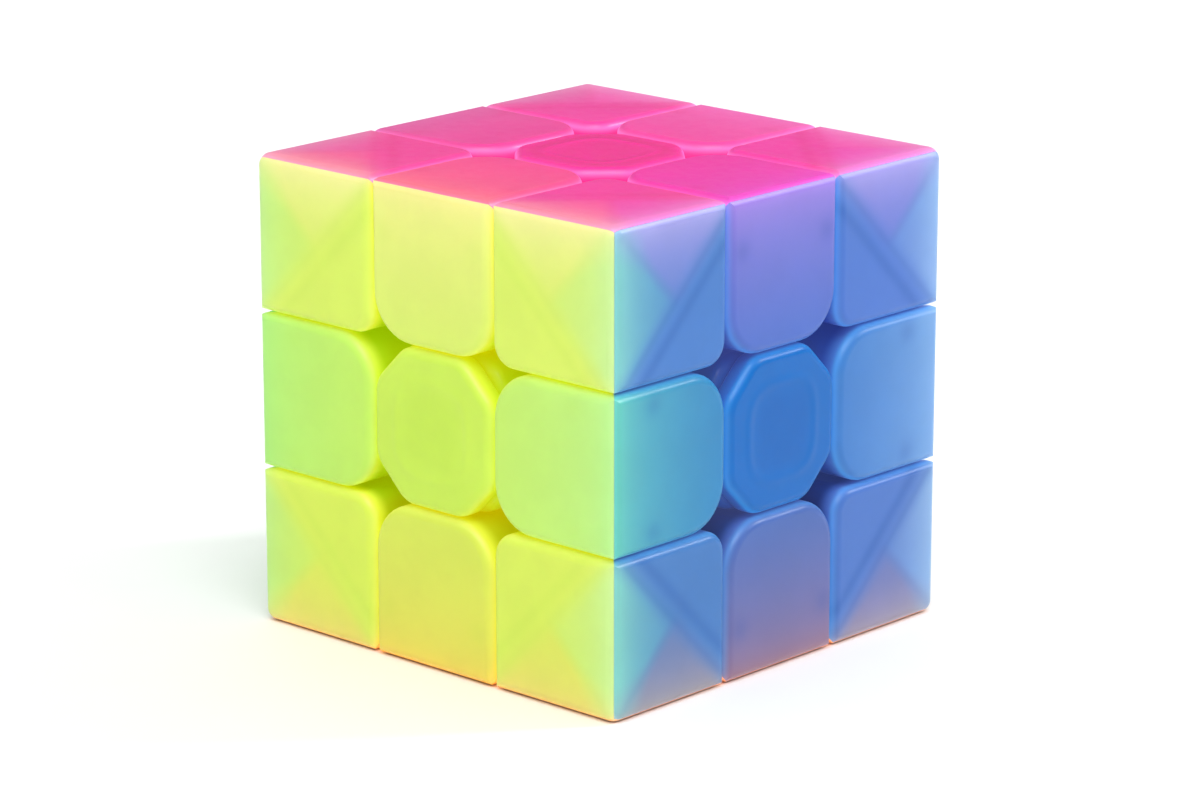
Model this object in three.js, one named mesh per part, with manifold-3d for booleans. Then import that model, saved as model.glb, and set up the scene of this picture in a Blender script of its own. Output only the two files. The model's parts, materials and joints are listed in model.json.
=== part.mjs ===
// A 3 x 3 x 3 twisty puzzle cube with a sprung six-armed core, modelled as it comes apart on a bench.
// Millimetres, +Z up. The origin is the middle of the bottom face, and the core is HALF above it.
//
// What separates a layer from the rest is a surface turned about that layer's axis: a flat plane outside
// the locking ball, and a cone inside it. A piece's body lies outside the ball and its foot inside. The
// cone is wider than the plane, so a foot reaches under its neighbours' bodies and is held there, while
// each of the six layers stays free to turn.
import * as THREE from "three";
import { mergeVertices } from "three/addons/utils/BufferGeometryUtils.js";
import Module from "manifold-3d";

const wasm = await Module();
wasm.setup();

// Outside of the cube
const CUBE = 56; // side of the closed cube
const HALF = CUBE / 2;
const PLAY = 0.3; // gap between neighbouring pieces
const LAYER = CUBE / 6; // a layer's cut plane, measured from the core
const NEAR = LAYER + PLAY / 2; // where the pieces outside the cut plane start
const SIDE = LAYER - PLAY / 2; // where the pieces inside it end
const WALL = 1.4; // thickness of a moulded shell
const RIM = 0.7; // chamfer round a face, where it meets its neighbours
const OUTER_EDGE = 0.7; // chamfer of the cube's own twelve edges
const CAP_SINK = 0.1; // the centre caps lie this far below the other faces

// Rounding of the face outlines, seen square on
const CORNER_ROUND = 2.8; // next to the centre piece
const EDGE_ROUND = 5.5; // the two corners next to the centre piece
const CENTRE_ROUND = 5.5; // the centre piece below its cap
const CAP_CUT = 4.6; // the cap's corners, cut off at 45 degrees

// The locking ball round the core
const FOOT_INNER = 14.2;
const FOOT_OUTER = 19.25;
const BODY_INNER = 19.85;
const CONE_ANGLE = THREE.MathUtils.degToRad(70); // from the layer's axis
const CONE_GAP = 0.25; // a piece stands back this far from each cone

// The core, and the stack on each of its arms, measured outwards from the core's middle
const HUB_RADIUS = 6.5;
const ARM_RADIUS = 3.2;
const ARM_END = 10.9;
const PILOT_RADIUS = 1.4;
const PILOT_START = 3.8;
const STEM_RADIUS = 4.3;
const STEM_START = 11.3;
const LEDGE = 13; // the spring stands on this ledge inside the stem
const SHANK_HOLE_RADIUS = 1.6;
const WELL_RADIUS = 3.5; // the spring and the screw head lie in this well
const SKIRT_ROUND = 3;
const PLATE_START = 16.5;
const PLATE_TOP = 24.9;
const CUP_FLOOR = 22.3;
const CUP_HALF = 6.9; // the square cup that the cap's skirt pushes into

// The cap
const CAP_START = PLATE_TOP + PLAY;
const SKIRT_START = CUP_FLOOR + PLAY;
const SKIRT_HALF = CUP_HALF - PLAY;

// Screw and spring
const SHANK_RADIUS = 1.15;
const SHANK_START = 4.2;
const HEAD_RADIUS = 3;
const HEAD_START = 20;
const HEAD_TOP = 21.9;
const RECESS_LENGTH = 3.4; // the screw's cross recess
const RECESS_WIDTH = 0.8;
const RECESS_DEPTH = 1.1;
const SPRING_RADIUS = 2.6; // to the middle of the wire
const WIRE_RADIUS = 0.35;
const SPRING_TURNS = 4;
const SPRING_END_TURN = 0.7; // the flat turn at each end

// How finely round things are divided
const BALL_SIDES = 24;
const ROD_SIDES = 12;
const ARC_STEPS = 2;
const HIDDEN_ARC_STEPS = 1; // for hollows, and for what lies under a cap
const WIRE_SIDES = 6;
const STEPS_PER_TURN = 7;

const UP = [0, 0, 1];
const FACES = {
  top: { axis: UP, colour: "#f2559d" },
  bottom: { axis: [0, 0, -1], colour: "#f4813a" },
  front: { axis: [0, -1, 0], colour: "#dcee62" },
  back: { axis: [0, 1, 0], colour: "#edf2f5" },
  right: { axis: [1, 0, 0], colour: "#4d88dd" },
  left: { axis: [-1, 0, 0], colour: "#84de7c" },
};
const SIDE_PAIRS = [
  ["front", "right"],
  ["back", "right"],
  ["back", "left"],
  ["front", "left"],
];
const LEVELS = ["top", "bottom"];
const SIDES = ["front", "right", "back", "left"];

const plastic = (colour) => new THREE.MeshStandardMaterial({ color: colour, roughness: 0.4 });
const steel = () =>
  new THREE.MeshStandardMaterial({ color: "#b9bcc0", roughness: 0.3, metalness: 1 });

// ---- Making and joining solids ----

function solid(geometry) {
  const bare = geometry.clone();
  bare.deleteAttribute("normal");
  bare.deleteAttribute("uv");
  const merged = mergeVertices(bare);
  const vertProperties = merged.attributes.position.array;
  const triVerts = new Uint32Array(merged.index.array);
  return new wasm.Manifold(new wasm.Mesh({ numProp: 3, vertProperties, triVerts }));
}

function geometryOf(body) {
  const { vertProperties, triVerts } = body.getMesh();
  const geometry = new THREE.BufferGeometry();
  geometry.setAttribute("position", new THREE.BufferAttribute(new Float32Array(vertProperties), 3));
  geometry.setIndex(new THREE.BufferAttribute(new Uint32Array(triVerts), 1));
  return geometry;
}

const common = (first, ...others) => others.reduce((body, other) => body.intersect(other), first);
const joined = (first, ...others) => others.reduce((body, other) => body.add(other), first);
const cut = (first, ...others) => others.reduce((body, other) => body.subtract(other), first);

// The turn that carries +Z onto another direction.
function aim(axis) {
  const turn = new THREE.Quaternion();
  return turn.setFromUnitVectors(new THREE.Vector3(...UP), new THREE.Vector3(...axis).normalize());
}

// The turn that carries X, Y and Z onto three directions.
function basis(x, y, z) {
  const axes = [x, y, z].map((axis) => new THREE.Vector3(...axis));
  return new THREE.Quaternion().setFromRotationMatrix(new THREE.Matrix4().makeBasis(...axes));
}

const moved = (body, turn) => solid(geometryOf(body).applyQuaternion(turn));
const along = (axis, body) => moved(body, aim(axis));

// X becomes Y, Y becomes Z and Z becomes X, which shows a body made for the top face to the next one.
const NEXT_FACE = basis([0, 1, 0], UP, [1, 0, 0]);
// Y and Z change places, and X turns round, which shows it to the back face.
const BACK_FACE = basis([-1, 0, 0], UP, [0, 1, 0]);

const ball = (radius, sides = BALL_SIDES) => solid(new THREE.SphereGeometry(radius, sides, sides / 2));

// A solid turned about Z, from [radius, height] points that start and end on the axis.
function turned(points, sides = ROD_SIDES) {
  const profile = points.map(([radius, height]) => new THREE.Vector2(radius, height));
  return solid(new THREE.LatheGeometry(profile, sides).rotateX(Math.PI / 2));
}

// A rod about Z.
function rod(radius, from, to) {
  return turned([
    [0, from],
    [radius, from],
    [radius, to],
    [0, to],
  ]);
}

// A box about Z.
function box(width, depth, from, to) {
  const geometry = new THREE.BoxGeometry(width, depth, to - from);
  return solid(geometry.translate(0, 0, (from + to) / 2));
}

// All that lies within a layer's cone about +Z. It stands back from the true cone by "gap".
function cone(gap) {
  const apex = gap / Math.sin(CONE_ANGLE);
  const reach = BODY_INNER * 2;
  const radius = reach * Math.sin(CONE_ANGLE);
  return turned(
    [
      [0, apex],
      [radius, apex + reach * Math.cos(CONE_ANGLE)],
      [radius, reach],
      [0, reach],
    ],
    BALL_SIDES,
  );
}

const IN_CONE = cone(CONE_GAP);
const FOOT_BALL = ball(FOOT_OUTER);
const HOLLOW_BALL = ball(FOOT_INNER, ROD_SIDES);
const BODY_BALL = ball(BODY_INNER);

// All that lies within the cube's chamfered edges: three square bars, each set cornerwise about its axis.
function edgeBevel() {
  const side = (CUBE - OUTER_EDGE) * Math.SQRT2;
  const cornerwise = new THREE.Quaternion().setFromAxisAngle(new THREE.Vector3(...UP), Math.PI / 4);
  const bar = moved(box(side, side, -HALF, HALF), cornerwise);
  return common(bar, along([1, 0, 0], bar), along([0, 1, 0], bar));
}

const EDGE_BEVEL = edgeBevel();

// What is left of a body outside the cones about the given axes.
const outsideCones = (body, ...axes) => cut(body, ...axes.map((axis) => along(axis, cone(-CONE_GAP))));

// ---- Face outlines ----

// A closed outline through [x, y, radius] corners, anticlockwise, with an arc wherever a radius is given.
function outline(corners) {
  const shape = new THREE.Shape();
  corners.forEach(([x, y, radius], i) => {
    const corner = new THREE.Vector2(x, y);
    const before = new THREE.Vector2(...corners.at(i - 1)).sub(corner).normalize();
    const after = new THREE.Vector2(...corners[(i + 1) % corners.length]).sub(corner).normalize();
    const trim = radius / Math.tan(before.angleTo(after) / 2);
    const start = before.clone().multiplyScalar(trim).add(corner);
    const end = after.clone().multiplyScalar(trim).add(corner);
    if (i === 0) {
      shape.moveTo(start.x, start.y);
    } else {
      shape.lineTo(start.x, start.y);
    }
    if (radius > 0) {
      const centre = start.clone().add(new THREE.Vector2(before.y, -before.x).multiplyScalar(radius));
      const angles = [start, end].map((point) => Math.atan2(point.y - centre.y, point.x - centre.x));
      shape.absarc(centre.x, centre.y, radius, ...angles, false);
    }
  });
  return shape;
}

function roundedSquare(half, radius) {
  return outline([
    [half, half, radius],
    [-half, half, radius],
    [-half, -half, radius],
    [half, -half, radius],
  ]);
}

function octagon(half, corner) {
  const flat = half - corner;
  return outline([
    [half, -flat, 0],
    [half, flat, 0],
    [flat, half, 0],
    [-flat, half, 0],
    [-half, flat, 0],
    [-half, -flat, 0],
    [-flat, -half, 0],
    [flat, -half, 0],
  ]);
}

// The outlines of corner and edge pieces run on to FAR, and the other faces' outlines cut them off.
const FAR = HALF + RIM * 2;

function cornerOutline(inset) {
  const near = NEAR + inset;
  return outline([
    [near, near, CORNER_ROUND - inset],
    [FAR, near, 0],
    [FAR, FAR, 0],
    [near, FAR, 0],
  ]);
}

function edgeOutline(inset) {
  const near = NEAR + inset;
  const side = SIDE - inset;
  return outline([
    [-side, near, EDGE_ROUND - inset],
    [side, near, EDGE_ROUND - inset],
    [side, FAR, 0],
    [-side, FAR, 0],
  ]);
}

// An outline carried from one height to another, with a chamfer of "rim" round both ends.
function prism(shape, from, to, rim = 0) {
  const geometry = new THREE.ExtrudeGeometry(shape, {
    depth: to - from - rim * 2,
    curveSegments: rim > 0 ? ARC_STEPS : HIDDEN_ARC_STEPS,
    bevelEnabled: rim > 0,
    bevelThickness: rim,
    bevelSize: rim,
    bevelOffset: -rim,
    bevelSegments: 1,
  });
  return solid(geometry.translate(0, 0, from + rim));
}

// ---- Pieces, each made in its first place: facing +Z, and then +Y or +X where it has more faces ----

// A corner piece: three outer faces, a hollow body, and a foot with the hollow's mouth in it.
function cornerPiece() {
  const block = (inset, rim) => {
    const face = prism(cornerOutline(inset), 0, HALF - inset, rim);
    const second = moved(face, NEXT_FACE);
    return common(face, second, moved(second, NEXT_FACE));
  };
  const foot = common(FOOT_BALL, IN_CONE, along([1, 0, 0], IN_CONE), along([0, 1, 0], IN_CONE));
  const mouth = along([1, 1, 1], rod(WELL_RADIUS / 2, 0, BODY_INNER));
  const outside = common(block(0, RIM), EDGE_BEVEL);
  return cut(joined(outside, foot), HOLLOW_BALL, block(WALL, 0), mouth);
}

// One half of an edge piece, the half that shows its face at +Z. The piece is as long as a layer is thick
// along X, and its halves are two hollow shells that are glued on the plane through their outer edge.
function edgeHalf() {
  const block = (inset, rim) => {
    const face = prism(edgeOutline(inset), 0, HALF - inset, rim);
    return common(face, moved(face, BACK_FACE));
  };
  const whole = common(block(0, RIM), EDGE_BEVEL);
  const foot = common(FOOT_BALL, IN_CONE, along([0, 1, 0], IN_CONE));
  const inner = outsideCones(joined(foot, common(whole, BODY_BALL)), [1, 0, 0], [-1, 0, 0]);
  const piece = cut(joined(cut(whole, BODY_BALL), inner), HOLLOW_BALL, block(WALL, 0));
  const seam = box(CUBE * 2, CUBE * 2, PLAY / 2, CUBE);
  return common(piece, along([0, -1, 1], seam));
}

// A centre piece: the square plate under the cap, and the stem that slides on the arm's screw.
function centrePiece() {
  const plate = cut(prism(roundedSquare(SIDE, CENTRE_ROUND), PLATE_START, PLATE_TOP), BODY_BALL);
  const body = joined(plate, rod(STEM_RADIUS, STEM_START, CUP_FLOOR));
  const well = rod(WELL_RADIUS, LEDGE, PLATE_TOP);
  const hole = rod(SHANK_HOLE_RADIUS, 0, PLATE_TOP);
  const cup = prism(roundedSquare(CUP_HALF, SKIRT_ROUND + PLAY), CUP_FLOOR, FAR);
  return cut(body, well, hole, cup);
}

// A centre cap: the coloured face, with a skirt that pushes into the centre piece.
function centreCap() {
  const face = prism(octagon(SIDE, CAP_CUT), CAP_START, HALF - CAP_SINK, RIM);
  const skirt = prism(roundedSquare(SKIRT_HALF, SKIRT_ROUND), SKIRT_START, CAP_START + RIM);
  const inside = roundedSquare(SKIRT_HALF - WALL, SKIRT_ROUND - WALL);
  return cut(joined(face, skirt), prism(inside, 0, HALF - CAP_SINK - WALL));
}

function core() {
  const arms = Object.values(FACES).map(({ axis }) => along(axis, rod(ARM_RADIUS, 0, ARM_END)));
  const pilots = Object.values(FACES).map(({ axis }) => along(axis, rod(PILOT_RADIUS, PILOT_START, CUBE)));
  return cut(joined(ball(HUB_RADIUS, ROD_SIDES), ...arms), ...pilots);
}

function screw() {
  const body = joined(rod(SHANK_RADIUS, SHANK_START, HEAD_TOP), rod(HEAD_RADIUS, HEAD_START, HEAD_TOP));
  const slot = box(RECESS_LENGTH, RECESS_WIDTH, HEAD_TOP - RECESS_DEPTH, CUBE);
  const cross = box(RECESS_WIDTH, RECESS_LENGTH, HEAD_TOP - RECESS_DEPTH, CUBE);
  return cut(body, slot, cross);
}

// A compression spring between the ledge in the stem and the screw's head, with a flat turn at each end.
function spring() {
  class Coil extends THREE.Curve {
    getPoint(t) {
      const angle = t * SPRING_TURNS * 2 * Math.PI;
      const bottom = LEDGE + PLAY / 2 + WIRE_RADIUS;
      const top = HEAD_START - PLAY / 2 - WIRE_RADIUS;
      const flat = SPRING_END_TURN / SPRING_TURNS;
      const rise = THREE.MathUtils.clamp((t - flat) / (1 - flat * 2), 0, 1);
      const height = THREE.MathUtils.lerp(bottom, top, rise);
      return new THREE.Vector3(SPRING_RADIUS * Math.cos(angle), SPRING_RADIUS * Math.sin(angle), height);
    }
  }
  const section = new THREE.Shape().absarc(0, 0, WIRE_RADIUS, 0, 2 * Math.PI, false);
  const steps = Math.round(SPRING_TURNS * STEPS_PER_TURN);
  const wire = { steps, extrudePath: new Coil(), curveSegments: WIRE_SIDES / 2 };
  return solid(new THREE.ExtrudeGeometry(section, wire));
}

// ---- Assembly ----

const cube = new THREE.Group();
cube.position.z = HALF;

function place(name, body, material, turn) {
  const mesh = new THREE.Mesh(geometryOf(body), material);
  mesh.name = name;
  mesh.quaternion.copy(turn);
  cube.add(mesh);
}

const cross = (a, b) => new THREE.Vector3(...a).cross(new THREE.Vector3(...b)).toArray();

// The turn from +Z and +Y to an edge half's own face and the face beside it.
const edgeTurn = (face, beside) => basis(cross(beside, face), beside, face);

// The turn from the first corner to another one, with its faces taken in right-handed order.
function cornerTurn(level, first, second) {
  const rightHanded = new THREE.Vector3(...cross(first, second)).dot(new THREE.Vector3(...level)) > 0;
  return rightHanded ? basis(first, second, level) : basis(second, first, level);
}

const CORNER = cornerPiece();
for (const level of LEVELS) {
  for (const [first, second] of SIDE_PAIRS) {
    const turn = cornerTurn(FACES[level].axis, FACES[first].axis, FACES[second].axis);
    place(`corner_${level}_${first}_${second}`, CORNER, plastic(FACES[level].colour), turn);
  }
}

const EDGE_HALF = edgeHalf();
const EDGES = LEVELS.flatMap((level) => SIDES.map((side) => [level, side])).concat(SIDE_PAIRS);
for (const pair of EDGES) {
  for (const [shown, beside] of [pair, pair.toReversed()]) {
    const turn = edgeTurn(FACES[shown].axis, FACES[beside].axis);
    place(`edge_${pair.join("_")}_${shown}_shell`, EDGE_HALF, plastic(FACES[shown].colour), turn);
  }
}

const CENTRE = centrePiece();
const CAP = centreCap();
const SCREW = screw();
const SPRING = spring();
for (const [name, { axis, colour }] of Object.entries(FACES)) {
  const turn = aim(axis);
  place(`centre_${name}_body`, CENTRE, plastic(colour), turn);
  place(`centre_${name}_cap`, CAP, plastic(colour), turn);
  place(`screw_${name}`, SCREW, steel(), turn);
  place(`spring_${name}`, SPRING, steel(), turn);
}

place("core", core(), plastic("#e9ecee"), new THREE.Quaternion());

export default cube;
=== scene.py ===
"""A frosted see-through twisty puzzle cube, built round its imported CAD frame."""

import itertools
import json
import math

import bmesh
import bpy
from mathutils import Matrix, Vector


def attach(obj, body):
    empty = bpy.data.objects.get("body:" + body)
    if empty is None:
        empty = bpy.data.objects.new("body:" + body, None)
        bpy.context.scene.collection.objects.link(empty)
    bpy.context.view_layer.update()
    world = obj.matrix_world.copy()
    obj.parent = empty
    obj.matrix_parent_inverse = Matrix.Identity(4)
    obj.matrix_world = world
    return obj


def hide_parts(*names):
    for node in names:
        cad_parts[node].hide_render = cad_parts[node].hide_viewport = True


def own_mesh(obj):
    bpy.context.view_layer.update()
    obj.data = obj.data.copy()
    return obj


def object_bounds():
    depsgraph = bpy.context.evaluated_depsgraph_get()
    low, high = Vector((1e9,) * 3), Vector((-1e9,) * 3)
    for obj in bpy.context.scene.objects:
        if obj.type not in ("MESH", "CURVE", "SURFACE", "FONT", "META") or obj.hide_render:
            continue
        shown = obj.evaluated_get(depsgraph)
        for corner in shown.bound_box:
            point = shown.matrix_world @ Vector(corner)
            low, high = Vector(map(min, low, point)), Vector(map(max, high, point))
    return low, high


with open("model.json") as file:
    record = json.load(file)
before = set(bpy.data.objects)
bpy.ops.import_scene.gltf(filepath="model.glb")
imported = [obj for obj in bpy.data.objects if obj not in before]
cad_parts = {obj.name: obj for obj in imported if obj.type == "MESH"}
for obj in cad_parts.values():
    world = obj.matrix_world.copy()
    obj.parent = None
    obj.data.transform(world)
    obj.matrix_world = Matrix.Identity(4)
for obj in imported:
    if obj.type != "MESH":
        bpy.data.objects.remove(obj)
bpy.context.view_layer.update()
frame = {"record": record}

# Pieces are made in millimetres round the core's middle, and then moved into the frame, in metres.
MM = 0.001
LOW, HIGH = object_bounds()
CUBE = (HIGH.x - LOW.x) / MM
HALF = CUBE / 2
LAYER = CUBE / 6
CORE_AT = Vector((0, 0, HALF * MM))

# Outside of the tiles
PLAY = 0.26  # gap between neighbouring pieces
NEAR = LAYER + PLAY / 2
SIDE = LAYER - PLAY / 2
WALL = 1.4
FIT = 0.3  # gap round a part that is pushed into another
SMALL_ROUND = 0.3  # fillet of the edges inside
RIM = 1.15  # fillet round a face, where it meets its neighbours
OUTER_EDGE = 1.5  # fillet of the cube's outer edges
FAR = HALF + 3  # outlines run on to here, and are cut off by the cube's faces
CORNER_ROUND = 2.8
EDGE_ROUND = 5.6
CENTRE_ROUND = 5.6
CAP_CUT = 4.6
CAP_ROUND = 3.4
CAP_SINK = 0.1
SEAM = 0.03  # how far a shell stands back, along its own axis, from the mitres that it is glued along

# The locking ball round the core
FOOT_INNER = 14.2
FOOT_OUTER = 19.25
SHELL_INNER = FOOT_OUTER + 0.05  # where a corner's shells end, outside its foot
BODY_INNER = 19.85
POST_RADIUS = 3.08
POST_END = HALF + 4.2
MOUTH_RADIUS = 1.75
CONE_ANGLE = math.radians(70)
CONE_GAP = 0.25

# The stack on each arm, measured outwards from the core's middle
HUB_RADIUS = 6.5
ARM_RADIUS = 3.2
ARM_END = 10.9
ARM_ROUND = 0.4
PILOT_RADIUS = 1.4
PILOT_PAST = 0.4  # how far the hole goes on past the screw's end
STEM_RADIUS = 4.3
STEM_START = 11.3
LEDGE = 13
SHANK_HOLE_RADIUS = 1.6
WELL_RADIUS = 3.5
CUP_FLOOR = 22.3
CUP_HALF = 6.9
SKIRT_ROUND = 3
PLATE_START = 16.5
PLATE_TOP = 24.9
CAP_START = PLATE_TOP + FIT
SKIRT_START = CUP_FLOOR + FIT
SKIRT_HALF = CUP_HALF - FIT
SKIRT_OVERLAP = 1  # how far the skirt goes up into the cap's face
SHANK_RADIUS = 1.15
SHANK_START = 4.2
THREAD_PITCH = 0.8
THREAD_DEPTH = 0.2
THREAD_RUN_IN = 1.2
PLAIN_SHANK = 0.6  # how far the plain shank stands out from the thread's root, as a share of its depth
HEAD_RADIUS = 3
HEAD_START = 20
HEAD_TOP = 21.9
HEAD_ROUND = 0.5
HEAD_OVERLAP = 0.01  # how far the shank goes up into the head
RECESS_LENGTH = 3.4
RECESS_WIDTH = 0.8
RECESS_DEPTH = 1.1
SPRING_RADIUS = 2.6
WIRE_RADIUS = 0.35
SPRING_TURNS = 4
SPRING_END_TURN = 0.7
SPRING_CLEARANCE = 0.15  # at each end of a spring

# How finely round things are divided
ARC = 10
RIM_STEPS = 8
BALL_SIDES = 96
HUB_SIDES = 64
ROD_SIDES = 48
SCREW_SIDES = 24
SCREW_STEPS = 12  # in each turn of the thread
WIRE_SIDES = 12
WIRE_STEPS = 40  # in each turn of the spring
SMOOTH_BELOW = math.radians(28)

UP = Vector((0, 0, 1))
FACES = {
    "top": Vector((0, 0, 1)),
    "bottom": Vector((0, 0, -1)),
    "front": Vector((0, -1, 0)),
    "back": Vector((0, 1, 0)),
    "right": Vector((1, 0, 0)),
    "left": Vector((-1, 0, 0)),
}
SLOTS = {
    "top": "pink_shell",
    "bottom": "orange_shell",
    "front": "yellow_shell",
    "back": "white_shell",
    "right": "blue_shell",
    "left": "green_shell",
}
SIDE_PAIRS = [("front", "right"), ("back", "right"), ("back", "left"), ("front", "left")]
SIDES = ["front", "right", "back", "left"]

scene = bpy.context.scene


# ---- Camera ----

AZIMUTH = math.radians(42.74)
ELEVATION = math.radians(15.39)
DISTANCE = 0.533
AIM = Vector((0, 0, 0.02623))
LENS = 137.65


def make_camera():
    back = Vector((
        math.sin(AZIMUTH) * math.cos(ELEVATION),
        -math.cos(AZIMUTH) * math.cos(ELEVATION),
        math.sin(ELEVATION),
    ))
    data = bpy.data.cameras.new("camera")
    data.lens = LENS
    data.sensor_width = 36
    data.clip_start = 0.01
    camera = bpy.data.objects.new("camera", data)
    scene.collection.objects.link(camera)
    camera.location = AIM + back * DISTANCE
    camera.rotation_mode = "QUATERNION"
    camera.rotation_quaternion = (-back).to_track_quat("-Z", "Y")
    scene.camera = camera


make_camera()


# ---- Solids ----

def new_object(name, mesh):
    made = bpy.data.objects.new(name, mesh)
    scene.collection.objects.link(made)
    return made


def mesh_of(points, faces):
    mesh = bpy.data.meshes.new("solid")
    mesh.from_pydata(points, [], faces)
    mesh.validate()
    return mesh


def moved(mesh, matrix):
    copy = mesh.copy()
    copy.transform(matrix)
    if matrix.determinant() < 0:
        copy.flip_normals()
    return copy


def combine(first, others, operation):
    """The first mesh joined to, cut by or met with the others."""
    base = new_object("base", first)
    tools = [new_object("tool", other) for other in others]
    for tool in tools:
        modifier = base.modifiers.new("combine", "BOOLEAN")
        modifier.operation = operation
        modifier.solver = "MANIFOLD"
        modifier.object = tool
    depsgraph = bpy.context.evaluated_depsgraph_get()
    made = bpy.data.meshes.new_from_object(base.evaluated_get(depsgraph))
    for spare in [base, *tools]:
        bpy.data.objects.remove(spare)
    return made


def common(first, *others):
    return combine(first, others, "INTERSECT")


def joined(first, *others):
    return combine(first, others, "UNION")


def cut(first, *others):
    return combine(first, others, "DIFFERENCE")


def loft(rings):
    """A closed solid through rings of equally many points, with flat ends."""
    count = len(rings[0])
    points = [point for ring in rings for point in ring]
    faces = [tuple(reversed(range(count)))]
    for level in range(len(rings) - 1):
        for i in range(count):
            j = (i + 1) % count
            low, high = level * count, (level + 1) * count
            faces.append((low + i, low + j, high + j, high + i))
    last = (len(rings) - 1) * count
    faces.append(tuple(range(last, last + count)))
    return mesh_of(points, faces)


def turned(profile, sides=ROD_SIDES):
    """A solid turned about Z from (radius, height) points, which start and end on the axis."""
    points = [(0, 0, profile[0][1])]
    rings = profile[1:-1]
    for radius, height in rings:
        for i in range(sides):
            angle = 2 * math.pi * i / sides
            points.append((radius * math.cos(angle), radius * math.sin(angle), height))
    points.append((0, 0, profile[-1][1]))
    faces = []
    last = len(points) - 1
    top = 1 + (len(rings) - 1) * sides
    for i in range(sides):
        j = (i + 1) % sides
        faces.append((0, 1 + j, 1 + i))
        faces.append((top + i, top + j, last))
        for level in range(len(rings) - 1):
            low = 1 + level * sides
            faces.append((low + i, low + j, low + sides + j, low + sides + i))
    return mesh_of(points, faces)


def rod(radius, start, end, round_over=0.0, sides=ROD_SIDES):
    """A rod about Z, whose end edges are rounded over."""
    steps = 4 if round_over else 0
    lower, upper = [(radius, start)], [(radius, end)]
    if round_over:
        turns = [math.pi / 2 * k / steps for k in range(steps + 1)]
        lower = [
            (radius - round_over * (1 - math.sin(a)), start + round_over * (1 - math.cos(a))) for a in turns
        ]
        upper = [(r, start + end - z) for r, z in reversed(lower)]
    return turned([(0, start), *lower, *upper, (0, end)], sides)


def ball(radius, sides=BALL_SIDES):
    heights = range(1, sides // 2)
    angles = [math.pi * k / (sides // 2) - math.pi / 2 for k in heights]
    arc = [(radius * math.cos(a), radius * math.sin(a)) for a in angles]
    return turned([(0, -radius), *arc, (0, radius)], sides)


def cone(gap):
    """All that lies within a layer's cone about +Z, standing back from the true cone by "gap"."""
    apex = gap / math.sin(CONE_ANGLE)
    reach = BODY_INNER * 2
    radius = reach * math.sin(CONE_ANGLE)
    rim = apex + reach * math.cos(CONE_ANGLE)
    return turned([(0, apex), (radius, rim), (radius, reach), (0, reach)], BALL_SIDES)


def box(width, depth, start, end):
    x, y = width / 2, depth / 2
    ring = [(-x, -y), (x, -y), (x, y), (-x, y)]
    return loft([[(*point, z) for point in ring] for z in (start, end)])


def mitre():
    """All that is nearer to the +Z axis than to the other five: what one shell of a piece fills."""
    reach = CUBE
    apex = (0, 0, SEAM)
    ring = [(-reach, -reach), (reach, -reach), (reach, reach), (-reach, reach)]
    points = [apex] + [(*point, reach + SEAM) for point in ring]
    sides = [(0, 1 + (i + 1) % 4, 1 + i) for i in range(4)]
    return mesh_of(points, [*sides, (1, 2, 3, 4)])


def arc_points(radius, steps):
    angles = [math.pi / 2 * k / steps for k in range(steps + 1)]
    return [(radius * math.cos(a), radius * math.sin(a)) for a in angles]


def rounded_cube():
    """The cube's outside, with its edges rounded over."""
    shape = bmesh.new()
    middle = HALF - OUTER_EDGE
    eighth = []
    for across, height in arc_points(OUTER_EDGE, RIM_STEPS):
        eighth += [(middle + x, middle + y, middle + height) for x, y in arc_points(across, RIM_STEPS)]
    for signs in itertools.product((1, -1), repeat=3):
        for point in eighth:
            shape.verts.new([s * c for s, c in zip(signs, point)])
    bmesh.ops.convex_hull(shape, input=shape.verts[:])
    mesh = bpy.data.meshes.new("outside")
    shape.to_mesh(mesh)
    shape.free()
    return mesh


def onto(axis):
    """The turn that carries +Z onto another axis."""
    return UP.rotation_difference(axis).to_matrix().to_4x4()


def basis(x, y, z):
    """The turn that carries X, Y and Z onto three axes."""
    return Matrix((x, y, z)).transposed().to_4x4()


X, Y, Z = FACES["right"], FACES["back"], FACES["top"]
NEXT_FACE = basis(Y, Z, X)
BACK_FACE = basis(-X, Z, Y)


# ---- Outlines ----

def outline(corners, inset=0.0, steps=ARC):
    """Points of an anticlockwise outline through (x, y, radius) corners, all moved inwards by "inset"."""
    points = []
    for i, (x, y, radius) in enumerate(corners):
        here = Vector((x, y))
        before = (here - Vector(corners[i - 1][:2])).normalized()
        after = (Vector(corners[(i + 1) % len(corners)][:2]) - here).normalized()
        first, last = Vector((before.y, -before.x)), Vector((after.y, -after.x))
        inward = -(first + last) / (1 + first.dot(last))
        if radius <= inset:
            points.append(tuple(here + inward * inset))
            continue
        centre = here + inward * radius
        start = math.atan2(first.y, first.x)
        turn = math.atan2(first.cross(last), first.dot(last))
        for k in range(steps + 1):
            angle = start + turn * k / steps
            points.append(tuple(centre + Vector((math.cos(angle), math.sin(angle))) * (radius - inset)))
    return points


CORNER_OUTLINE = [(NEAR, NEAR, CORNER_ROUND), (FAR, NEAR, 0), (FAR, FAR, 0), (NEAR, FAR, 0)]
EDGE_OUTLINE = [(-SIDE, NEAR, EDGE_ROUND), (SIDE, NEAR, EDGE_ROUND), (SIDE, FAR, 0), (-SIDE, FAR, 0)]


def square_outline(half, radius):
    return [(x * half, y * half, radius) for x, y in ((1, 1), (-1, 1), (-1, -1), (1, -1))]


def octagon_outline(half, corner, radius):
    flat = half - corner
    quarter = [(half, -flat), (half, flat)]
    points = []
    for _ in range(4):
        points += [(x, y, radius) for x, y in quarter]
        quarter = [(-y, x) for x, y in quarter]
    return points


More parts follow.
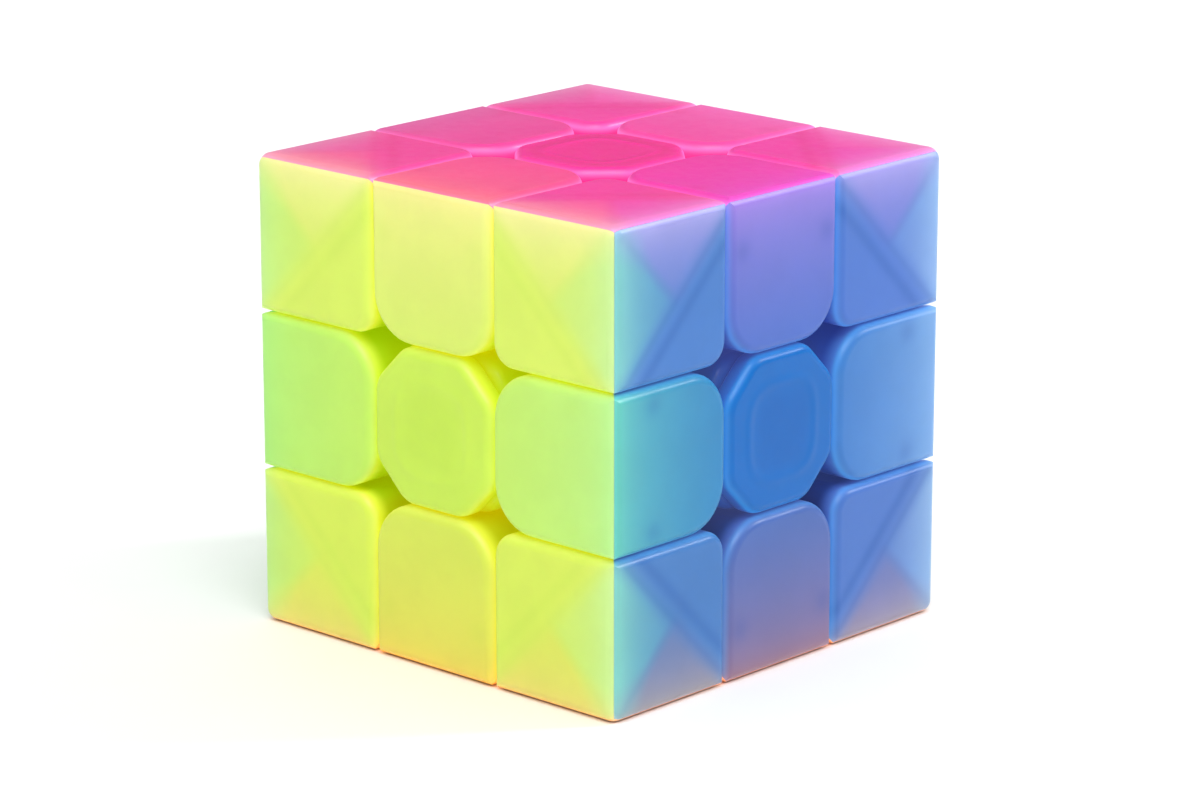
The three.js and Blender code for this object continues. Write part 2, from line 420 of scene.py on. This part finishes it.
def prism(corners, start, end, rim=0.0, inset=0.0, lower_rim=0.0):
    """An outline carried along Z, with a fillet round its upper end and its lower one."""
    quarter = [math.pi / 2 * k / RIM_STEPS for k in range(RIM_STEPS + 1)]
    rings = []
    if lower_rim:
        for angle in quarter:
            ring = outline(corners, inset + lower_rim * (1 - math.sin(angle)))
            rings.append([(*point, start + lower_rim * (1 - math.cos(angle))) for point in ring])
    else:
        rings.append([(*point, start) for point in outline(corners, inset)])
    if rim:
        for angle in quarter:
            ring = outline(corners, inset + rim * (1 - math.cos(angle)))
            rings.append([(*point, end - rim * (1 - math.sin(angle))) for point in ring])
    else:
        rings.append([(*point, end) for point in outline(corners, inset)])
    return loft(rings)


# ---- Pieces, each made in its first place ----

# A centre piece faces +Z, an edge piece +Z and +Y, and a corner piece +Z, +X and +Y.

IN_CONE = cone(CONE_GAP)
PAST_CONE = cone(-CONE_GAP)


def corner_block(inset, rim):
    face = prism(CORNER_OUTLINE, 0, HALF - inset, rim, inset)
    second = moved(face, NEXT_FACE)
    return common(face, second, moved(second, NEXT_FACE))


def corner_shell():
    """The shell of a corner piece that shows at +Z."""
    body = common(corner_block(0, RIM), rounded_cube())
    hollow = cut(body, corner_block(WALL, 0), ball(SHELL_INNER))
    return common(hollow, mitre())


def corner_foot():
    """The foot of a corner piece, with the post that its three shells close round."""
    foot = common(ball(FOOT_OUTER), IN_CONE.copy(), moved(IN_CONE, onto(X)), moved(IN_CONE, onto(Y)))
    diagonal = onto(Vector((1, 1, 1)).normalized())
    post = moved(rod(POST_RADIUS, FOOT_INNER, POST_END), diagonal)
    mouth = moved(rod(MOUTH_RADIUS, 0, HALF), diagonal)
    return cut(joined(foot, post), ball(FOOT_INNER), mouth)


def edge_half():
    """The half of an edge piece that shows at +Z, with its half of the foot."""
    def block(inset, rim):
        face = prism(EDGE_OUTLINE, 0, HALF - inset, rim, inset)
        return common(face, moved(face, BACK_FACE))

    whole = common(block(0, RIM), rounded_cube())
    foot = common(ball(FOOT_OUTER), IN_CONE.copy(), moved(IN_CONE, onto(Y)))
    neck = common(whole.copy(), ball(BODY_INNER))
    inner = cut(joined(foot, neck), moved(PAST_CONE, onto(X)), moved(PAST_CONE, onto(-X)))
    body = joined(cut(whole, ball(BODY_INNER)), inner)
    hollow = cut(body, ball(FOOT_INNER), block(WALL, 0))
    return common(hollow, mitre())


def centre_piece():
    plate = prism(square_outline(SIDE, CENTRE_ROUND), PLATE_START, PLATE_TOP, rim=RIM)
    body = joined(cut(plate, ball(BODY_INNER)), rod(STEM_RADIUS, STEM_START, CUP_FLOOR, SMALL_ROUND))
    cup = prism(square_outline(CUP_HALF, SKIRT_ROUND + FIT), CUP_FLOOR, FAR)
    return cut(body, rod(WELL_RADIUS, LEDGE, PLATE_TOP), rod(SHANK_HOLE_RADIUS, 0, PLATE_TOP), cup)


def centre_cap():
    top = HALF - CAP_SINK
    octagon = octagon_outline(SIDE, CAP_CUT, CAP_ROUND)
    square = square_outline(SKIRT_HALF, SKIRT_ROUND)
    face = prism(octagon, CAP_START, top, rim=RIM, lower_rim=SMALL_ROUND)
    skirt = prism(square, SKIRT_START, CAP_START + SKIRT_OVERLAP, lower_rim=SMALL_ROUND)
    inside = prism(square_outline(SKIRT_HALF - WALL, SKIRT_ROUND - WALL), 0, top - WALL)
    return cut(joined(face, skirt), inside)


def core_piece():
    arm = rod(ARM_RADIUS, 0, ARM_END, ARM_ROUND)
    pilot = rod(PILOT_RADIUS, SHANK_START - PILOT_PAST, HALF)
    arms = [moved(arm, onto(axis)) for axis in FACES.values()]
    pilots = [moved(pilot, onto(axis)) for axis in FACES.values()]
    body = joined(ball(HUB_RADIUS, HUB_SIDES), *arms)
    return cut(body, *pilots)


def screw_piece():
    """A pan-head screw: the thread is rolled on the end that bites into the core's arm."""
    rings = []
    length = HEAD_START - SHANK_START
    count = int(length / THREAD_PITCH * SCREW_STEPS)
    for level in range(count + 1):
        z = SHANK_START + length * level / count
        run_in = min(1, (z - SHANK_START) / THREAD_RUN_IN)
        run_out = min(1, max(0, (ARM_END - z) / THREAD_PITCH))
        root = SHANK_RADIUS - THREAD_DEPTH + THREAD_DEPTH * (1 - run_out) * PLAIN_SHANK
        ring = []
        for i in range(SCREW_SIDES):
            turn = i / SCREW_SIDES
            phase = ((z - SHANK_START) / THREAD_PITCH - turn) % 1.0
            ridge = 1 - abs(phase * 2 - 1)
            radius = root + THREAD_DEPTH * ridge * run_in * run_out
            angle = 2 * math.pi * turn
            ring.append((radius * math.cos(angle), radius * math.sin(angle), z))
        rings.append(ring)
    shank = loft(rings)
    head = rod(HEAD_RADIUS, HEAD_START, HEAD_TOP, HEAD_ROUND)
    body = joined(head, moved(shank, Matrix.Translation((0, 0, HEAD_OVERLAP))))
    floor = HEAD_TOP - RECESS_DEPTH
    recess = [box(RECESS_LENGTH, RECESS_WIDTH, floor, CUBE), box(RECESS_WIDTH, RECESS_LENGTH, floor, CUBE)]
    return cut(body, *recess)


def spring_piece():
    """A compression spring, whose wire lies flat for most of a turn at each end."""
    steps = SPRING_TURNS * WIRE_STEPS
    bottom = LEDGE + SPRING_CLEARANCE + WIRE_RADIUS
    top = HEAD_START - SPRING_CLEARANCE - WIRE_RADIUS
    flat = SPRING_END_TURN / SPRING_TURNS
    rings = []
    for k in range(steps + 1):
        t = k / steps
        angle = t * SPRING_TURNS * 2 * math.pi
        rise = min(1, max(0, (t - flat) / (1 - flat * 2)))
        height = bottom + (top - bottom) * rise
        outward = Vector((math.cos(angle), math.sin(angle), 0))
        centre = outward * SPRING_RADIUS + UP * height
        ring = []
        for i in range(WIRE_SIDES):
            a = 2 * math.pi * i / WIRE_SIDES
            ring.append(tuple(centre + (outward * math.cos(a) + UP * math.sin(a)) * WIRE_RADIUS))
        rings.append(ring)
    return loft(rings)


# ---- Materials ----

# For each face: its plastic's colour, and that of its corner tiles (mostly a little lighter, as painted
# light for the light that comes into a corner through three shells); what those pale towards at the cube's
# edges (partly a painted highlight);
# the painted glow (emission) on its rims and on the walls deep in a gap, standing in for the light that
# shines through them; and the colours that its shells take on at their edges with the neighbouring faces.
PLASTIC = {
    "top": Vector((0.81, 0.0, 0.255)),
    "bottom": Vector((0.90, 0.24, 0.03)),
    "front": Vector((0.62, 0.87, 0.095)),
    "back": Vector((0.74, 0.82, 0.86)),
    "right": Vector((0.0, 0.145, 0.52)),
    "left": Vector((0.17, 0.72, 0.20)),
}
# Corner tiles' colours: mostly a little lighter than PLASTIC, as painted light for the light that comes
# into a corner through three shells.
IN_CORNER = {
    "top": Vector((0.81, 0.0, 0.275)),
    "bottom": Vector((0.90, 0.26, 0.04)),
    "front": Vector((0.72, 0.90, 0.08)),
    "back": Vector((0.74, 0.82, 0.86)),
    "right": Vector((0.0, 0.14, 0.56)),
    "left": Vector((0.18, 0.74, 0.20)),
}
# What a corner tile pales towards at the cube's edges: partly a painted highlight on the edge fillet,
# partly its translucent edge.
PALER = {
    "top": Vector((1.0, 1.0, 1.0)),
    "bottom": Vector((1.0, 0.9, 0.7)),
    "front": Vector((1.0, 1.0, 0.6)),
    "back": Vector((1.0, 1.0, 1.0)),
    "right": Vector((0.6, 1.0, 1.0)),
    "left": Vector((0.7, 1.0, 0.8)),
}
PAINTED_RIM_GLOW = {
    "top": Vector((0.36, 0.18, 0.40)),
    "bottom": Vector((0.85, 0.36, 0.06)),
    "front": Vector((0.18, 0.11, 0.04)),
    "back": Vector((0.22, 0.24, 0.26)),
    "right": Vector((0.04, 0.15, 0.27)),
    "left": Vector((0.06, 0.18, 0.06)),
}
PAINTED_DEEP_GLOW = {
    "top": Vector((0.30, 0.05, 0.20)),
    "bottom": Vector((0.22, 0.06, 0.01)),
    "front": Vector((0.30, 0.20, 0.0)),
    "back": Vector((0.20, 0.22, 0.24)),
    "right": Vector((0.04, 0.06, 0.16)),
    "left": Vector((0.05, 0.18, 0.04)),
}
AT_EDGE = {
    "top": {
        "front": Vector((0.89, 0.16, 0.215)),
        "right": Vector((0.75, 0.05, 0.51)),
        "back": Vector((0.80, 0.16, 0.49)),
        "left": Vector((0.62, 0.13, 0.35)),
    },
    "bottom": {
        "front": Vector((0.92, 0.50, 0.06)),
        "right": Vector((0.60, 0.26, 0.30)),
        "back": Vector((0.92, 0.45, 0.28)),
        "left": Vector((0.70, 0.42, 0.10)),
    },
    "front": {
        "top": Vector((1.0, 0.93, 0.34)),
        "right": Vector((0.50, 0.93, 0.326)),
        "bottom": Vector((0.93, 0.70, 0.12)),
        "left": Vector((0.422, 0.90, 0.243)),
    },
    "back": {
        "top": Vector((0.92, 0.60, 0.78)),
        "right": Vector((0.50, 0.66, 0.90)),
        "bottom": Vector((0.93, 0.66, 0.45)),
        "left": Vector((0.60, 0.88, 0.66)),
    },
    "right": {
        "top": Vector((0.41, 0.25, 0.78)),
        "front": Vector((0.15, 0.64, 0.50)),
        "bottom": Vector((0.39, 0.197, 0.215)),
        "back": Vector((0.265, 0.49, 0.83)),
    },
    "left": {
        "top": Vector((0.55, 0.60, 0.42)),
        "front": Vector((0.30, 0.85, 0.24)),
        "bottom": Vector((0.50, 0.55, 0.12)),
        "back": Vector((0.35, 0.80, 0.55)),
    },
}

TINT_REACH = {"right": 14.0}  # how far an edge's tint goes in, in mm, where it isn't 18
MARKS = {"top": 1.2, "front": 0.6, "right": 1.5}  # how strongly the inner walls show, where it isn't 1
RINGS = {"top": 0.38}  # how strongly the cap's skirt shows as a ring


def darker(colour):
    """The plastic's colour where little light gets to it: painted shade on the walls deep in a gap, and the
    colour that the darker marks go towards.
    """
    return Vector([0.85 * c ** 1.3 for c in colour])


class Nodes:
    """Adds nodes to a tree, with a short call for each kind."""

    def __init__(self, tree):
        self.tree = tree
        tree.nodes.clear()

    def add(self, kind, inputs=(), **settings):
        node = self.tree.nodes.new(kind)
        for key, value in settings.items():
            setattr(node, key, value)
        for key, value in dict(inputs).items():
            self.give(value, node.inputs[key])
        return node

    def give(self, value, socket):
        if isinstance(value, bpy.types.NodeSocket):
            self.tree.links.new(value, socket)
        elif isinstance(value, Vector) and socket.type == "RGBA":
            socket.default_value = (*value, 1)
        else:
            socket.default_value = value

    def math(self, operation, *values):
        return self.add("ShaderNodeMath", dict(enumerate(values)), operation=operation).outputs[0]

    def dot(self, vector, axis):
        node = self.add("ShaderNodeVectorMath", {0: vector, 1: axis}, operation="DOT_PRODUCT")
        return node.outputs["Value"]

    def ramp(self, value, low, high, start=0.0, end=1.0):
        """Goes smoothly from "start" at "low" to "end" at "high", and is flat outside."""
        inputs = {"Value": value, "From Min": low, "From Max": high, "To Min": start, "To Max": end}
        return self.add("ShaderNodeMapRange", inputs, interpolation_type="SMOOTHSTEP").outputs[0]

    def mix(self, factor, a, b):
        node = self.add("ShaderNodeMix", data_type="RGBA", clamp_factor=True)
        for value, index in ((factor, 0), (a, 6), (b, 7)):
            self.give(value, node.inputs[index])
        return node.outputs[2]

    def scale(self, vector, factor):
        node = self.add("ShaderNodeVectorMath", {0: vector}, operation="SCALE")
        self.give(factor, node.inputs["Scale"])
        return node.outputs[0]

    def vector(self, operation, *values):
        return self.add("ShaderNodeVectorMath", dict(enumerate(values)), operation=operation).outputs[0]

    def noise(self, vector, scale, detail=2.0):
        inputs = {"Vector": vector, "Scale": scale, "Detail": detail, "Roughness": 0.5}
        return self.add("ShaderNodeTexNoise", inputs).outputs["Fac"]


# How a tile's tints and marks run: reaches, widths and places in mm, and strengths from 0 to 1
EDGE_TINT = 0.69  # strength of the neighbour's colour at an edge tile's outer edge
EDGE_GLOW = (1.7, 0.36)  # reach and strength of what is added to it close to that edge
TRIANGLE_TINT = (7.2, 0.59)  # reach and strength of the neighbour's colour in a corner tile's triangle
TRIANGLE_GLOW = (2.1, 0.22)
TRIANGLE_FADE = (3.2, -2.1)  # places past the diagonal where a triangle is gone, and where it is full
SHARED_SIDE_AT = (2.0, 12.0)  # two values of du + dv on the side that a tile's two triangles share
SHARED_SIDE_SOFT = (5.0, 1.8)  # half of that side's soft width at each of them
CORNER_TINT = 0.11  # strength of both neighbours' colours all over a corner tile
CORNER_PALE = (2.6, 0.16)  # reach and strength of a corner tile's paler edges, partly a painted highlight
BANDS = [(1.0, 0.8, 0.11), (3.9, 1.1, 0.19)]  # place past the diagonal, width and strength
VERTEX_LINE = (0.9, 0.06)  # width and strength of the line in from the cube's vertex
PEG_SPOT = (1.4, 0.16)  # width and strength
PEG_ALONG = 7.2  # the snap pegs behind an edge tile, from its middle along the cube's edge
PEG_IN = 6.2  # and in from that edge
DIAGONAL = LAYER * 2  # du + dv on the line through a corner tile's two side corners
SKIRT_SQUARENESS = 3.2  # 2 would be a circle
SKIRT_RELIEF = (5.6, 0.6)  # place and width
SKIRT_RING = (6.6, 0.8)
SKIRT_SHADE = 0.2  # strength of the darker patch within the skirt
SKIRT_SHADE_AT = (6.2, 3.0)  # radii where that patch starts, and where it is full
WALL_SHARE = 0.6  # the most that a wall in a gap takes on of its neighbour's colour
WALL_SHARE_AT = (5.0, 12.0)  # places from the face's middle where that starts, and where it is full
WALL_IN = (0.6, 3.2)  # depths between which a tile's colour goes over into a wall's, which is painted shade
LIGHT_IN = (0.05, 0.8)  # depths between which the painted glow (emission) on the rims sets in
LIGHT_DEEP = (0.5, 1.5)  # depths between which it goes over into the painted glow deep in a gap


def tile_group():
    """A node group: the colour of a face's shells, and the glow painted on them (emission) for the light
    that comes through them, at a place on it.

    U and V run across the face from its middle, in mm, and Depth goes in from it. An edge tile takes on
    its neighbour's colour from the cube's edge inwards, and two snap pegs show through it as faint spots.
    In a corner tile, which is paler at the cube's edges (partly a painted highlight), the mitred walls
    inside show as two tinted triangles, with a soft double band along their far side. In a centre tile the
    cap's skirt shows as a darker patch with a slight ring in relief. Deep in a gap the walls are painted
    darker, as painted shade, and the rims and those walls get a painted glow (emission) for the light that
    comes through them.
    """
    tree = bpy.data.node_groups.new("tile_tint", "ShaderNodeTree")
    for name in ("U", "V", "Depth", "Reach", "Marks", "Ring"):
        tree.interface.new_socket(name, in_out="INPUT", socket_type="NodeSocketFloat")
    colours = ("Own", "In Corner", "Paler", "Dark", "Painted Rim Glow", "Painted Deep Glow")
    for name in (*colours, "Plus U", "Minus U", "Plus V", "Minus V"):
        tree.interface.new_socket(name, in_out="INPUT", socket_type="NodeSocketColor")
    for name in ("Color", "Light"):
        tree.interface.new_socket(name, in_out="OUTPUT", socket_type="NodeSocketColor")
    tree.interface.new_socket("Relief", in_out="OUTPUT", socket_type="NodeSocketFloat")
    n = Nodes(tree)
    given = n.add("NodeGroupInput").outputs
    u, v, depth = given["U"], given["V"], given["Depth"]
    au, av = n.math("ABSOLUTE", u), n.math("ABSOLUTE", v)
    du, dv = n.math("SUBTRACT", HALF, au), n.math("SUBTRACT", HALF, av)
    column, row = n.math("GREATER_THAN", au, LAYER), n.math("GREATER_THAN", av, LAYER)
    corner = n.math("MULTIPLY", column, row)
    middle = n.math("SUBTRACT", 1.0, n.math("MAXIMUM", column, row))
    edge_u = n.mix(n.math("GREATER_THAN", u, 0.0), given["Minus U"], given["Plus U"])
    edge_v = n.mix(n.math("GREATER_THAN", v, 0.0), given["Minus V"], given["Plus V"])

    def falling(distance, reach, strength):
        power = n.math("EXPONENT", n.math("MULTIPLY", n.math("DIVIDE", distance, reach), -1.0))
        return n.math("MULTIPLY", power, strength)

    def bump(distance, width, strength):
        ratio = n.math("DIVIDE", distance, width)
        power = n.math("EXPONENT", n.math("MULTIPLY", n.math("MULTIPLY", ratio, ratio), -1.0))
        return n.math("MULTIPLY", power, strength)

    across = n.math("SUBTRACT", dv, du)  # positive on U's side of the line in from the cube's vertex
    from_vertex = n.math("ADD", du, dv)
    beyond = n.math("SUBTRACT", from_vertex, DIAGONAL)  # positive on the side of the face's middle
    outside = n.ramp(beyond, *TRIANGLE_FADE)
    soft = n.ramp(from_vertex, *SHARED_SIDE_AT, *SHARED_SIDE_SOFT)
    u_side = n.ramp(across, n.math("MULTIPLY", soft, -1.0), soft)
    v_side = n.math("SUBTRACT", 1.0, u_side)
    weights, pegs = [], []
    for distance, along, strip, side in ((du, av, column, u_side), (dv, au, row, v_side)):
        tint = falling(distance, given["Reach"], EDGE_TINT)
        on_edge = n.math("ADD", tint, falling(distance, *EDGE_GLOW))
        edge_tile = n.math("SUBTRACT", strip, corner)
        edge_only = n.math("MULTIPLY", edge_tile, on_edge)
        from_peg = n.math("SUBTRACT", along, PEG_ALONG), n.math("SUBTRACT", distance, PEG_IN)
        squares = n.math("ADD", *[n.math("MULTIPLY", way, way) for way in from_peg])
        pegs.append(n.math("MULTIPLY", bump(n.math("SQRT", squares), *PEG_SPOT), edge_tile))
        triangle = n.math("MULTIPLY", side, outside)
        in_triangle = n.math("ADD", falling(distance, *TRIANGLE_TINT), falling(distance, *TRIANGLE_GLOW))
        in_corner = n.math("ADD", n.math("MULTIPLY", triangle, in_triangle), CORNER_TINT)
        weights.append(n.math("ADD", edge_only, n.math("MULTIPLY", in_corner, corner)))
    own = n.mix(corner, given["Own"], given["In Corner"])
    colour = n.scale(own, n.math("SUBTRACT", 1.0, n.math("ADD", *weights)))
    for at_edge, weight in zip((edge_u, edge_v), weights):
        colour = n.vector("ADD", colour, n.scale(at_edge, weight))
    colour = n.vector("MAXIMUM", colour, Vector((0.0, 0.0, 0.0)))
    # Paler edges of a corner tile: partly a painted highlight.
    paler = n.math("ADD", falling(du, *CORNER_PALE), falling(dv, *CORNER_PALE))
    colour = n.mix(n.math("MULTIPLY", paler, corner), colour, given["Paler"])

    bands = n.math("ADD", *[bump(n.math("SUBTRACT", beyond, at), *shape) for at, *shape in BANDS])
    vertex_line = n.math("MULTIPLY", bump(across, *VERTEX_LINE), outside)
    lines = n.math("MULTIPLY", n.math("ADD", bands, vertex_line), corner)
    marks = n.math("MULTIPLY", n.math("ADD", lines, n.math("ADD", *pegs)), given["Marks"])

    powers = [n.math("POWER", side, SKIRT_SQUARENESS) for side in (au, av)]
    radius = n.math("POWER", n.math("ADD", *powers), 1 / SKIRT_SQUARENESS)

    def ring_at(place, width, strength):
        return n.math("MULTIPLY", bump(n.math("SUBTRACT", radius, place), width, 1.0), strength)

    relief = ring_at(*SKIRT_RELIEF, middle)
    shade = n.ramp(radius, *SKIRT_SHADE_AT, 0.0, SKIRT_SHADE)
    skirt = n.math("MULTIPLY", n.math("ADD", shade, ring_at(*SKIRT_RING, given["Ring"])), middle)
    colour = n.mix(n.math("ADD", marks, skirt), colour, given["Dark"])

    # Painted shade: deep in a gap the tile's colour goes over into the darker colour, tinted toward the
    # neighbour's colour.
    deep_in = n.ramp(depth, *WALL_IN)
    wall = given["Dark"]
    # Painted glow (emission) on the rims and the walls in the gaps, standing in for light that comes
    # through the plastic.
    light = n.mix(n.ramp(depth, *LIGHT_DEEP), given["Painted Rim Glow"], given["Painted Deep Glow"])
    light = n.scale(light, n.ramp(depth, *LIGHT_IN))
    for at_edge, side in ((edge_u, au), (edge_v, av)):
        share = n.math("MULTIPLY", n.ramp(side, *WALL_SHARE_AT, 0.0, WALL_SHARE), deep_in)
        wall = n.mix(share, wall, n.vector("MULTIPLY", wall, at_edge))
        light = n.mix(share, light, n.vector("MULTIPLY", light, at_edge))
    colour = n.mix(deep_in, colour, wall)
    n.add("NodeGroupOutput", {"Color": colour, "Light": light, "Relief": relief})
    return tree


TILE_TINT = tile_group()


def object_place(n):
    """A point's place in mm from the core's middle, which stays the same however the piece has turned."""
    texture = n.add("ShaderNodeTexCoord").outputs["Object"]
    return n.scale(n.vector("SUBTRACT", texture, CORE_AT), 1 / MM)


def frosted(n, colour, place, light=None, relief=None, subsurface=0.35):
    """Satin see-through plastic: cloudy within, with a fine frosted skin."""
    cloud = n.noise(place, 0.16, 3.0)
    cloudy = n.scale(colour, n.ramp(cloud, 0.35, 0.65, 0.965, 1.0))
    skin = n.noise(place, 5.0, 3.0)
    swirl = n.noise(place, 0.7, 2.0)
    rough = n.math("ADD", n.ramp(swirl, 0.3, 0.7, 0.31, 0.37), n.ramp(skin, 0.3, 0.7, -0.02, 0.02))
    normal = n.add("ShaderNodeBump", {"Strength": 0.04, "Distance": 0.00002, "Height": skin}).outputs[0]
    if relief is not None:
        inputs = {"Distance": 0.00009, "Height": relief, "Normal": normal}
        normal = n.add("ShaderNodeBump", inputs).outputs[0]
    shader = n.add("ShaderNodeBsdfPrincipled", {
        "Base Color": cloudy,
        "Roughness": rough,
        "Normal": normal,
        "IOR": 1.45,
        "Specular IOR Level": 0.37,
        "Subsurface Weight": subsurface,
        "Subsurface Radius": (1.0, 0.8, 0.7),
        "Subsurface Scale": 0.0016,
    })
    # Painted glow: this emission stands in for light that comes through the plastic.
    if light is not None:
        n.give(light, shader.inputs["Emission Color"])
        shader.inputs["Emission Strength"].default_value = 1.0
    n.add("ShaderNodeOutputMaterial", {"Surface": shader.outputs[0]})


def new_material(name):
    material = bpy.data.materials.new(name)
    material.use_nodes = True
    return material, Nodes(material.node_tree)


def face_named(axis):
    return next(name for name, other in FACES.items() if (other - axis).length < 0.1)


def shell_material(name):
    normal = FACES[name]
    u = Vector((normal.y, normal.z, normal.x))
    v = normal.cross(u)
    own = PLASTIC[name]
    material, n = new_material(SLOTS[name])
    place = object_place(n)
    inputs = {
        "U": n.dot(place, u),
        "V": n.dot(place, v),
        "Depth": n.math("SUBTRACT", HALF, n.dot(place, normal)),
        "Reach": TINT_REACH.get(name, 18.0),
        "Marks": MARKS.get(name, 1.0),
        "Ring": RINGS.get(name, 0.0),
        "Own": own,
        "In Corner": IN_CORNER[name],
        "Paler": PALER[name],
        "Dark": darker(own),
        "Painted Rim Glow": PAINTED_RIM_GLOW[name],
        "Painted Deep Glow": PAINTED_DEEP_GLOW[name],
    }
    for label, axis in (("Plus U", u), ("Minus U", -u), ("Plus V", v), ("Minus V", -v)):
        inputs[label] = AT_EDGE[name][face_named(axis)]
    group = n.add("ShaderNodeGroup", node_tree=TILE_TINT)
    for label, value in inputs.items():
        n.give(value, group.inputs[label])
    frosted(n, group.outputs["Color"], place, group.outputs["Light"], group.outputs["Relief"])
    return material


def inner_material(name, own, share):
    """Plastic inside the cube, painted with the colours of the shells that the light comes in through, as
    painted coloured light.
    """
    material, n = new_material(name)
    place = object_place(n)
    direction = n.add("ShaderNodeVectorMath", {0: place}, operation="NORMALIZE").outputs[0]
    colour = own
    # Painted coloured light: towards each face the colour goes over to that face's plastic.
    for face, axis in FACES.items():
        towards = n.ramp(n.dot(direction, axis), 0.35, 0.9, 0.0, share)
        colour = n.mix(towards, colour, PLASTIC[face])
    frosted(n, colour, place, subsurface=0.2)
    return material


def steel_material():
    """Zinc-plated steel with fine drawn lines and a little dulling."""
    material, n = new_material("zinc_steel")
    place = object_place(n)
    fine = n.noise(place, 9.0, 4.0)
    cloudy = n.noise(place, 0.8, 2.0)
    colour = n.mix(n.ramp(cloudy, 0.35, 0.7), Vector((0.66, 0.67, 0.69)), Vector((0.52, 0.53, 0.55)))
    bump = n.add("ShaderNodeBump", {"Strength": 0.2, "Distance": 0.00002, "Height": fine}).outputs[0]
    shader = n.add("ShaderNodeBsdfPrincipled", {
        "Base Color": colour,
        "Roughness": n.ramp(fine, 0.3, 0.7, 0.22, 0.38),
        "Metallic": 1.0,
        "Normal": bump,
    })
    n.add("ShaderNodeOutputMaterial", {"Surface": shader.outputs[0]})
    return material


SHELLS = {name: shell_material(name) for name in FACES}
FOOT = inner_material("foot_plastic", Vector((0.62, 0.64, 0.66)), 0.85)
CORE = inner_material("core_plastic", Vector((0.80, 0.82, 0.84)), 0.35)
STEEL = steel_material()


# ---- Assembly ----

BODY_OF = {node: body for body, nodes in frame["record"]["behaviour"]["bodies"].items() for node in nodes}
TO_FRAME = Matrix.Translation(CORE_AT) @ Matrix.Scale(MM, 4)


def place(name, mesh, turn, material, slot, node):
    """Puts a copy of a piece in the frame, for the CAD node that it stands for."""
    made = moved(mesh, TO_FRAME @ turn)
    made.materials.clear()
    made.materials.append(material)
    made.shade_smooth()
    made.set_sharp_from_angle(angle=SMOOTH_BELOW)
    piece = new_object(name, made)
    weighted = piece.modifiers.new("weighted_normals", "WEIGHTED_NORMAL")
    weighted.keep_sharp = True
    weighted.weight = 80
    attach(piece, BODY_OF[node])
    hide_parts(node)
    return piece


def place_shell(name, mesh, turn, face, node):
    place(name, mesh, turn, SHELLS[face], SLOTS[face], node)


def corner_turns(level, first, second):
    """For each face of a corner piece: its name, and the turn from +Z, +X and +Y to it and the next two."""
    faces = [level, first, second]
    if FACES[first].cross(FACES[second]).dot(FACES[level]) < 0:
        faces = [level, second, first]
    for i in range(3):
        shown, after, last = faces[i:] + faces[:i]
        yield shown, basis(FACES[after], FACES[last], FACES[shown])


def place_corners():
    shell, foot = corner_shell(), corner_foot()
    for level, (first, second) in itertools.product(("top", "bottom"), SIDE_PAIRS):
        node = f"corner_{level}_{first}_{second}"
        for shown, turn in corner_turns(level, first, second):
            place_shell(f"{node}_{shown}_shell", shell, turn, shown, node)
        place(f"{node}_foot", foot, turn, FOOT, "core_plastic", node)


def place_edges():
    half = edge_half()
    pairs = [(level, side) for level in ("top", "bottom") for side in SIDES] + SIDE_PAIRS
    for pair in pairs:
        for shown, beside in (pair, pair[::-1]):
            face, other = FACES[shown], FACES[beside]
            node = f"edge_{pair[0]}_{pair[1]}_{shown}_shell"
            place_shell(f"{node}_moulded", half, basis(other.cross(face), other, face), shown, node)


def place_centres():
    body, cap, screw, spring = centre_piece(), centre_cap(), screw_piece(), spring_piece()
    for name, axis in FACES.items():
        turn = onto(axis)
        place_shell(f"centre_{name}_cup", body, turn, name, f"centre_{name}_body")
        place_shell(f"centre_{name}_tile", cap, turn, name, f"centre_{name}_cap")
        place(f"screw_{name}_threaded", screw, turn, STEEL, "steel", f"screw_{name}")
        coil = place(f"spring_{name}_coil", spring, turn, STEEL, "steel", f"spring_{name}")
        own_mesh(coil)


place_corners()
place_edges()
place_centres()
place("core_moulded", core_piece(), Matrix.Identity(4), CORE, "core_plastic", "core")


# ---- Floor and light ----

def make_floor():
    mesh = mesh_of([(-3, -3, 0), (3, -3, 0), (3, 3, 0), (-3, 3, 0)], [(0, 1, 2, 3)])
    floor = new_object("floor", mesh)
    material, n = new_material("pale_floor")
    place = n.add("ShaderNodeTexCoord").outputs["Object"]
    grain = n.noise(place, 60.0, 3.0)
    colour = n.mix(grain, Vector((0.90, 0.90, 0.90)), Vector((0.93, 0.93, 0.93)))
    shader = n.add("ShaderNodeBsdfPrincipled", {
        "Base Color": colour,
        "Roughness": 0.6,
        "Specular IOR Level": 0.2,
    })
    n.add("ShaderNodeOutputMaterial", {"Surface": shader.outputs[0]})
    mesh.materials.append(material)


def make_world():
    """Soft light from all round, which is brighter overhead than near the horizon."""
    world = bpy.data.worlds.new("studio")
    scene.world = world
    world.use_nodes = True
    n = Nodes(world.node_tree)
    direction = n.add("ShaderNodeTexCoord").outputs["Generated"]
    height = n.dot(direction, UP)
    strength = n.ramp(height, 0.0, 1.0, 0.2, 1.0)
    sky = n.add("ShaderNodeBackground", {"Color": Vector((1.0, 1.0, 1.0)), "Strength": strength})
    n.add("ShaderNodeOutputWorld", {"Surface": sky.outputs[0]})


def soft_sun(name, azimuth, elevation, spread, strength):
    a, e = math.radians(azimuth), math.radians(elevation)
    back = Vector((math.sin(a) * math.cos(e), -math.cos(a) * math.cos(e), math.sin(e)))
    data = bpy.data.lights.new(name, "SUN")
    data.angle = math.radians(spread)
    data.energy = strength
    light = bpy.data.objects.new(name, data)
    scene.collection.objects.link(light)
    light.rotation_mode = "QUATERNION"
    light.rotation_quaternion = back.to_track_quat("Z", "Y")


make_floor()
make_world()
soft_sun("overhead", 43, 60, 40, 1.5)
soft_sun("rear", 142, 32, 6, 0.85)

scene.view_settings.view_transform = "Standard"
